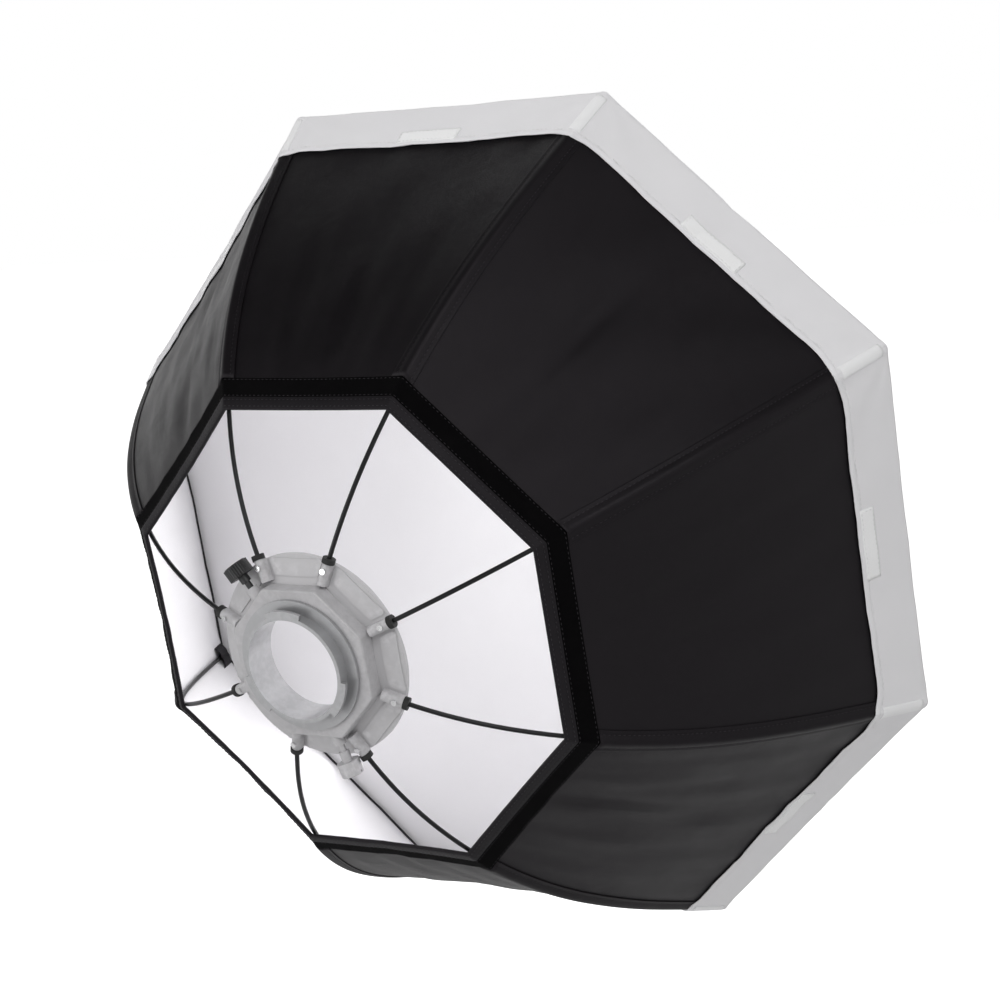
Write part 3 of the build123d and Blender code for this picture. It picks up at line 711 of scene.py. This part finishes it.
class SOFTBOX_OT_seams(CanopyOperator, bpy.types.Operator):
    """Builds the tape over each of the eight seams, with its two rows of stitches."""

    bl_idname = "softbox.seams"
    bl_label = "Seam sleeves"

    def build(self):
        canopy, sizes = self.canopy, self.sizes
        tape = cloth_material(
            "seam_tape", self.colours.shell, TAPE_THREADS, rough=0.5, gloss=0.2, sheen=0.012, dust=0.006
        )
        thread = cloth_material("seam_thread", shaded(self.colours.tape, 1.8), rough=0.5, gloss=0.4)
        start = sizes.opening + sizes.hem_width + sizes.band_width + 2 * LAYER_GAP
        stop = canopy.rim - BINDING_WIDTH - LAYER_GAP
        places = np.linspace(start, stop, 70)
        share = np.array([1.0, 0.93, 0.82, 0.70, 0.60, 0.52, 0.42, 0.32, 0.22, 0.14, 0.07])
        aside = np.concatenate([-share, [0.0], share[::-1]]) * sizes.sleeve_width
        turned_in = 0.35 * MM * np.exp(-(((np.abs(aside) - 0.60 * sizes.sleeve_width) / (1.1 * MM)) ** 2))
        lines = []
        for corner in range(SIDES):
            outwards = (TAPE[0] + seam_rib(aside) - turned_in)[None, :]
            points, cloth = canopy.seam(corner, aside, places, outwards)
            faces = grid_faces(*points.shape[:2])
            name = f"seam_tape_{corner + 1}"
            add_piece(name, make_mesh(name, points, faces, cloth), tape,
                      [f"seam_sleeve_{corner + 1}"], TAPE[1])
            for side in (-0.60, 0.60):
                at = side * sizes.sleeve_width
                face = TAPE[0] - 0.1 * MM
                lines.append(seam_line(canopy, corner, at, start + 2 * MM, canopy.skirt_edge, face))
        stitches("seam_stitches", lines, thread)


class SOFTBOX_OT_front_edge(CanopyOperator, bpy.types.Operator):
    """Builds the binding round the shell's front edge and the pockets that hold the rods' ends."""

    bl_idname = "softbox.front_edge"
    bl_label = "Binding and pockets"

    def build(self):
        canopy, sizes = self.canopy, self.sizes
        tape = cloth_material(
            "binding_tape", self.colours.tape, threads=TAPE_THREADS, rough=0.6, gloss=0.3, dust=0.01
        )
        inner = LINING[0] - LINING[1] - LAYER_GAP - TAPE[1]
        outline = folded_edge(canopy.rim, BINDING_WIDTH, TAPE[0], inner, 0.5 * MM, towards=-1)
        outline = [(min(place, canopy.rim + LAYER_GAP), out) for place, out in outline]
        ring_tube("rim_binding", canopy, outline, tape, ["front_binding"])
        aside = np.linspace(-1.0, 1.0, 19) * sizes.pocket_width
        reach = np.linspace(0.0, 1.0, 16)
        places = canopy.rod_length + 3.6 * MM - sizes.pocket_length * (1.0 - reach)
        rise = np.sqrt(np.clip(1.0 - np.clip((reach - 0.86) / 0.14, 0.0, 1.0) ** 2, 0.0, 1.0))
        near, far = LINING[0] - LINING[1] - 0.35 * MM, -4.6 * MM
        bulge = np.cos(pi / 2 * aside / sizes.pocket_width) ** 0.7
        points, faces, cloth = [], [], []
        for corner in range(SIDES):
            outwards = near + (far - near) * rise[:, None] * bulge[None, :]
            made, flat = canopy.seam(corner, aside, places, outwards, turned=True)
            faces.append(grid_faces(*made.shape[:2]) + sum(len(block) for block in points))
            points.append(made.reshape(-1, 3))
            cloth.append(flat.reshape(-1, 2))
        mesh = make_mesh("rod_pockets", np.concatenate(points), np.concatenate(faces), np.concatenate(cloth))
        add_piece("rod_pockets", mesh, tape, ["corner_pockets"], -0.7 * MM)


class SOFTBOX_OT_diffuser(CanopyOperator, bpy.types.Operator):
    """Builds the white cap: its front, the skirt folded back over the shell, its hem and closure patches."""

    bl_idname = "softbox.diffuser"
    bl_label = "Diffuser cap"

    def skirt_rows(self, first, last, count):
        """Distances from the rim side to the skirt's edge, which runs further forward at the corners."""
        across = self.canopy.ring([first], [0.0])[3]
        aside = (1.0 - np.abs(across)) * float(self.canopy.half_width(last))
        dip = CORNER_DIP * np.clip(1.0 - aside / CORNER_REACH, 0.0, 1.0) ** 2
        share = np.linspace(0.0, 1.0, count)[:, None]
        return first + (last - dip[None, :] - first) * share

    def build(self):
        canopy, sizes = self.canopy, self.sizes
        white = cloth_material(
            "diffuser_cloth", self.colours.diffuser, rough=0.7, gloss=0.3, crease=0.7, lift=0.02
        )
        front = -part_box("diffuser_front")[0].y
        heading = float(canopy.rod(canopy.rod_length)[2])
        run = front - MM - LAYER_GAP - sizes.tip_axial + (SKIRT[0] - SKIRT[1]) * cos(heading)
        brow = canopy.rod_length + run / sin(heading)
        sharp, cloth, _, across = canopy.ring([brow], [SKIRT[0]])
        aside = (1.0 - np.abs(across)) * float(canopy.half_width(brow))
        places = self.skirt_rows(brow - BROW, canopy.skirt_edge, SKIRT_ROWS)
        towards_edge = np.linspace(0.0, 1.0, SKIRT_ROWS)[:, None]
        gather = SKIRT_GATHER[0] * np.sin(cloth[0, :, 0] * 2 * pi / SKIRT_GATHER[1]) * towards_edge**2
        over_seam = seam_rib(aside)[None, :]
        skirt, skirt_cloth = canopy.ring(places, SKIRT[0] + over_seam + gather)[:2]
        inset = 1.0 - BROW / sizes.tip_radius
        flat = sharp[0] * [inset, 0.0, inset] + [0.0, -front, 0.0]
        sharp_edge = sharp[0] * [1.0, 0.0, 1.0] + [0.0, -front, 0.0]
        turn = np.linspace(0.0, 1.0, 8)[1:-1, None, None]
        brow_rows = (1 - turn) ** 2 * flat + 2 * turn * (1 - turn) * sharp_edge + turn**2 * skirt[0]
        scale = np.sin(np.linspace(0.03, 1.0, 40) * pi / 2)[:, None, None]
        bearing = np.arctan2(flat[0, 2], flat[0, 0]) + np.arange(len(flat)) * 2 * pi / len(flat)
        disc = np.stack([np.cos(bearing), 0.0 * bearing, np.sin(bearing)], axis=-1) * sizes.tip_radius
        even = (1.0 - scale) ** 0.5
        face = (flat[None] * (1.0 - even) + (disc[None] + [0.0, -front, 0.0]) * even) * scale
        x, z = face[..., 0], face[..., 2]
        middle = np.cos(np.clip(np.hypot(x, z) / sizes.tip_radius, 0.0, 1.0) * pi / 2)
        waves = np.sin(x * 31 + 2.0 * np.sin(z * 9)) + np.sin(z * 26 - x * 11) + 0.7 * np.sin(x * 57 + z * 43)
        reach = np.hypot(x, z) / sizes.tip_radius
        spokes = np.cos(SIDES * (np.arctan2(z, x) - FIRST_CORNER)) ** 3 * np.clip(reach, 0.0, 1.0) ** 3
        face[..., 1] = -front + middle * (FRONT_SAG + FRONT_WAVE * waves - FRONT_SPOKE * spokes)
        rows = np.concatenate([face, brow_rows, skirt])
        flat_cloth = np.concatenate([face, brow_rows])[..., [0, 2]]
        coordinates = np.concatenate([flat_cloth, skirt_cloth])
        faces = [list(corners) for corners in grid_faces(*rows.shape[:2], wrap_columns=True)]
        columns = rows.shape[1]
        points = np.concatenate([rows.reshape(-1, 3), [[0.0, face[0, 0, 1], 0.0]]])
        coordinates = np.concatenate([coordinates.reshape(-1, 2), [[0.0, 0.0]]])
        faces += [[len(points) - 1, (i + 1) % columns, i] for i in range(columns)]
        mesh = make_mesh("diffuser_cap", points, [corners[::-1] for corners in faces], coordinates)
        stands_for = ["diffuser_front", "diffuser_skirt"]
        cap = add_piece("diffuser_cap", mesh, white, stands_for, SKIRT[1])
        skirt_flat = self.gore_area(canopy.skirt_edge, brow)
        octagon = 2 * SIDES * float(canopy.half_width(brow)) * float(canopy.rod(brow)[0]) * cos(HALF_SIDE) / 2
        self.hem(white, places[-1])
        self.seams(brow)
        self.tabs()

    def hem(self, white, edge):
        """The elastic hem along the skirt's edge, slightly gathered."""
        canopy = self.canopy
        around = np.arange(10) * 2 * pi / 10
        place = edge[None, :] + 3.0 * MM + HEM_ROLL[0] * np.cos(around)[:, None]
        columns = canopy.ring([0.3], [0.0])
        aside = (1.0 - np.abs(columns[3])) * float(canopy.half_width(canopy.skirt_edge))
        gather = HEM_GATHER[0] * np.sin(columns[1][0, :, 0] * 2 * pi / HEM_GATHER[1])
        lift = SKIRT[0] - SKIRT[1] / 2 + 0.2 * MM + seam_rib(aside) + gather
        outwards = lift[None, :] + HEM_ROLL[1] * np.sin(around)[:, None]
        points, cloth = canopy.ring(place, outwards)[:2]
        faces = grid_faces(*points.shape[:2], wrap_rows=True, wrap_columns=True)
        add_piece("skirt_hem", make_mesh("skirt_hem", points, faces[:, ::-1], cloth), white)
        thread = cloth_material("white_thread", (0.7, 0.7, 0.7), rough=0.5, gloss=0.4)
        line = outward_line(lambda out: canopy.ring(edge[None, :] + 7.2 * MM, out)[0][0], SKIRT[0])
        stitches("skirt_stitches", [line], thread)

    def seams(self, brow):
        """A narrow doubled seam across the skirt at each corner."""
        canopy = self.canopy
        white = cloth_material("seam_cloth", self.colours.tab, rough=0.7, gloss=0.3, crease=0.5, lift=0.02)
        places = np.linspace(canopy.skirt_edge + 2 * MM, brow - 8 * MM, 16)
        aside = np.array([-4.0, -3.6, -2.8, -2.0, -1.0, 0.0, 1.0, 2.0, 2.8, 3.6, 4.0]) * MM
        points, faces, cloth = [], [], []
        for corner in range(SIDES):
            ends = np.where(np.abs(aside) > 3.8 * MM, -0.4 * MM, 0.0)
            outwards = SKIRT[0] + 0.55 * MM + seam_rib(aside) + ends
            made, flat = canopy.seam(corner, aside, places, outwards[None, :])
            faces.append(grid_faces(*made.shape[:2]) + sum(len(block) for block in points))
            points.append(made.reshape(-1, 3))
            cloth.append(flat.reshape(-1, 2))
        mesh = make_mesh("skirt_seams", np.concatenate(points), np.concatenate(faces), np.concatenate(cloth))
        add_piece("skirt_seams", mesh, white, (), 0.5 * MM)

    def tabs(self):
        """A sewn closure patch in the middle of each side."""
        canopy, sizes = self.canopy, self.sizes
        patch = fleece_material("tab_pile", self.colours.tab, 2200.0, 0.0, 0.0001)
        start = canopy.skirt_edge + PATCH_INSET
        places = np.linspace(start, start + sizes.tab_width, 8)
        along = np.linspace(-1.0, 1.0, 25) * sizes.tab_length / 2
        lines = []
        thread = bpy.data.materials["white_thread"]
        points, faces = [], []
        for panel in range(SIDES):
            def spot(distance, beside, out):
                distance, beside = np.broadcast_arrays(distance, beside)
                across = beside / canopy.half_width(distance)
                return canopy.points(np.full(distance.shape, panel), across, distance, out)

            edge = np.minimum(1.0 - np.abs(along) / along.max(), 0.06)[None, :] / 0.06
            side = np.minimum(np.linspace(0, 1, 8), np.linspace(1, 0, 8))[:, None] > 0
            out = TAB[0] - PATCH_BEVEL * (1.0 - np.clip(edge, 0, 1) * side)
            made = spot(places[:, None], along[None, :], out)
            faces.append(grid_faces(*made.shape[:2]) + sum(len(block) for block in points))
            points.append(made.reshape(-1, 3))
            low, high = places[0] + PATCH_SEWING, places[-1] - PATCH_SEWING
            reach = along.max() - 2 * MM
            loop = [(low, -reach), (low, reach), (high, reach), (high, -reach), (low, -reach)]
            for first, second in zip(loop[:-1], loop[1:]):
                way = np.linspace(0, 1, 14)
                at = [first[i] + (second[i] - first[i]) * way for i in (0, 1)]
                lines.append(outward_line(lambda out, at=at: spot(at[0], at[1], out), TAB[0]))
        mesh = make_mesh("closure_patches", np.concatenate(points), np.concatenate(faces))
        add_piece("closure_patches", mesh, patch, ["closure_tabs"], TAB[1])
        stitches("patch_stitches", lines, thread)


class SOFTBOX_OT_metalwork(CanopyOperator, bpy.types.Operator):
    """Finishes the speedring, its insert, sockets, screws and knobs, and the rods."""

    bl_idname = "softbox.metalwork"
    bl_label = "Speedring and rods"

    def build(self):
        colours = self.colours
        fine = {"grain": 2600.0, "depth": 0.00001, "dust": 0.02}
        grey = colours.ring
        ring = hard_material("ring_paint", grey, rough=0.5, depth=0.00003, wear=0.35)
        cast = {"grain": 900.0, "depth": 0.00005, "wear": 0.2}
        hub = hard_material("hub_casting", shaded(grey, 0.92), rough=0.5, **cast)
        insert = hard_material("turned_aluminium", colours.insert, metal=0.6, rough=0.38, wear=0.2, **fine)
        bright = hard_material("bright_plate", colours.bright, metal=1.0, rough=0.2, **fine)
        wire = {**fine, "grain": 2400.0, "wear": 0.1}
        rod = hard_material("rod_wire", colours.rod, metal=0.6, rough=0.36, **wire)
        soft = {"grain": 1700.0, "depth": 0.00006, "wear": 0.1, "dust": 0.1}
        rubber = hard_material("rubber", colours.rubber, rough=0.75, **soft)
        socket = hard_material("socket_nylon", shaded(grey, 0.9), rough=0.55, grain=1500.0, depth=0.00006)
        knob = hard_material("knob_black", colours.knob, rough=0.42, grain=1500.0, depth=0.00004, wear=0.5)
        turned = hard_material("knob_grey", shaded(grey, 1.02), metal=0.5, rough=0.38, depth=0.00002)
        pad = hard_material("pad_nylon", colours.pad, rough=0.6, grain=1300.0, wear=0.1)
        numbers = range(1, SIDES + 1)
        finishes = (
            (ring, ["ring_plate"]),
            (hub, ["ring_hub"]),
            (insert, ["bayonet_insert", "retaining_ring"]),
            (bright, ["plate_rivets", "retaining_screws", "socket_screws"]),
            (rod, [f"rod_{number}" for number in numbers]),
            (rubber, ["socket_grommets", "rod_tips"]),
            (socket, [f"rod_socket_{number}" for number in numbers]),
            (knob, ["thumbscrew_upper"]),
            (turned, ["thumbscrew_lower"]),
            (pad, ["clamp_pad_upper", "clamp_pad_lower"]),
        )
        for material, nodes in finishes:
            for node in nodes:
                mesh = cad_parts[node].data
                mesh.materials.clear()
                mesh.materials.append(material)


def floor_material():
    """A pale floor that keeps the object's shadow and reads as white from the camera."""
    material, net, shader, place = new_material("pale_floor")
    tone = net.ramp(net.noise(place, 3.0), 0.3, 0.7)
    net.tree.links.new(net.blend(tone, (0.86, 0.86, 0.86), (0.89, 0.89, 0.89)), shader.inputs["Base Color"])
    shader.inputs["Roughness"].default_value = 0.9
    seen = net.add("ShaderNodeLightPath").outputs
    bright = net.math("MAXIMUM", seen["Is Camera Ray"], seen["Is Transmission Ray"])
    net.tree.links.new(net.math("MULTIPLY", bright, 0.85), shader.inputs["Emission Strength"])
    shader.inputs["Emission Color"].default_value = (1.0, 1.0, 1.0, 1.0)
    return material


FLOOR_HALF, FLOOR_HEIGHT = 9.0, -1.65
CAMERA_PLACE = (-1.2608, 1.5408, 0.7312)
CAMERA_RIGHT = (-0.8504, -0.5014, -0.1592)
CAMERA_UP = (0.0198, -0.3329, 0.9428)
CAMERA_LENS = 83.07


class SOFTBOX_OT_stage(bpy.types.Operator):
    """Adds the floor, the soft lights, the pale surroundings and the camera."""

    bl_idname = "softbox.stage"
    bl_label = "Stage"

    def execute(self, context):
        scene = context.scene
        floor = bpy.data.objects.new("floor", bpy.data.meshes.new("floor"))
        sides = ((-1, -1), (1, -1), (1, 1), (-1, 1))
        corners = [(x * FLOOR_HALF, y * FLOOR_HALF, FLOOR_HEIGHT) for x, y in sides]
        floor.data.from_pydata(corners, [], [(0, 1, 2, 3)])
        floor.data.materials.append(floor_material())
        scene.collection.objects.link(floor)
        self.world(scene)
        self.lamp("key", (-1.9, 1.5, 2.6), 1.8, 46.0)
        self.lamp("fill", (1.8, 2.4, 0.6), 2.4, 34.0)
        self.lamp("front", (0.6, -2.8, 1.4), 2.4, 30.0)
        self.lamp("inside_front", (0.0, -0.385, 0.0), 0.6, 1.25)
        self.lamp("inside_rear", (0.0, -0.06, 0.0), 0.22, 0.38, (0.0, -1.0, 0.0))
        camera = bpy.data.objects.new("camera", bpy.data.cameras.new("camera"))
        camera.data.lens = CAMERA_LENS
        camera.data.sensor_width = 36.0
        right, up = Vector(CAMERA_RIGHT), Vector(CAMERA_UP)
        back = right.cross(up).normalized()
        up = back.cross(right).normalized()
        axes = Matrix((right, up, back)).transposed()
        camera.matrix_world = Matrix.Translation(CAMERA_PLACE) @ axes.to_4x4()
        scene.collection.objects.link(camera)
        scene.camera = camera
        scene.view_settings.view_transform = "Standard"
        return {"FINISHED"}

    def lamp(self, name, place, size, power, target=(0.0, 0.0, 0.0)):
        """A square soft light that points at the target, and that the camera doesn't see."""
        lamp = bpy.data.objects.new(name, bpy.data.lights.new(name, "AREA"))
        lamp.data.size = size
        lamp.data.energy = power
        lamp.location = place
        lamp.rotation_euler = (Vector(target) - Vector(place)).to_track_quat("-Z", "Y").to_euler()
        lamp.visible_camera = False
        bpy.context.scene.collection.objects.link(lamp)

    def world(self, scene):
        """Soft surroundings: white to the eye, and darker overhead than at the horizon in a gloss."""
        world = bpy.data.worlds.new("surroundings")
        world.use_nodes = True
        scene.world = world
        net = Net(world.node_tree)
        seen = net.add("ShaderNodeLightPath").outputs
        direction = net.add("ShaderNodeTexCoord").outputs["Generated"]
        height = net.add("ShaderNodeSeparateXYZ", {0: direction}).outputs[2]
        gloss = net.ramp(height, 0.10, 0.55, 1.0, 0.10)
        mirrored = net.math("MAXIMUM", seen["Is Glossy Ray"], seen["Is Transmission Ray"])
        ambient = 0.42
        level = net.math("MULTIPLY_ADD", mirrored, net.math("SUBTRACT", gloss, ambient), ambient)
        rest = net.math("SUBTRACT", 1.0, seen["Is Camera Ray"])
        strength = net.math("ADD", net.math("MULTIPLY", level, rest), seen["Is Camera Ray"])
        background = world.node_tree.nodes["Background"]
        background.inputs["Color"].default_value = (1.0, 1.0, 1.0, 1.0)
        world.node_tree.links.new(strength, background.inputs["Strength"])


# ---- panel and registration ----
STEPS = (
    SOFTBOX_OT_stage,
    SOFTBOX_OT_shell,
    SOFTBOX_OT_rear_edge,
    SOFTBOX_OT_seams,
    SOFTBOX_OT_front_edge,
    SOFTBOX_OT_diffuser,
    SOFTBOX_OT_metalwork,
)


class SOFTBOX_PT_panel(bpy.types.Panel):
    """Lists the softbox's steps, sizes and colours in the sidebar."""

    bl_idname = "SOFTBOX_PT_panel"
    bl_label = "Softbox"
    bl_space_type = "VIEW_3D"
    bl_region_type = "UI"
    bl_category = "Softbox"

    def draw(self, context):
        for step in STEPS:
            self.layout.operator(step.bl_idname)
        for group in (context.scene.softbox_sizes, context.scene.softbox_colours):
            for name in group.__annotations__:
                self.layout.prop(group, name)


CLASSES = (SoftboxSizes, SoftboxColours, *STEPS, SOFTBOX_PT_panel)


def register():
    for item in CLASSES:
        bpy.utils.register_class(item)
    bpy.types.Scene.softbox_sizes = PointerProperty(type=SoftboxSizes)
    bpy.types.Scene.softbox_colours = PointerProperty(type=SoftboxColours)


def unregister():
    del bpy.types.Scene.softbox_sizes
    del bpy.types.Scene.softbox_colours
    for item in reversed(CLASSES):
        bpy.utils.unregister_class(item)


def main():
    register()
    for step in STEPS:
        group, name = step.bl_idname.split(".")
        getattr(getattr(bpy.ops, group), name)()


if __name__ == "__main__":
    main()
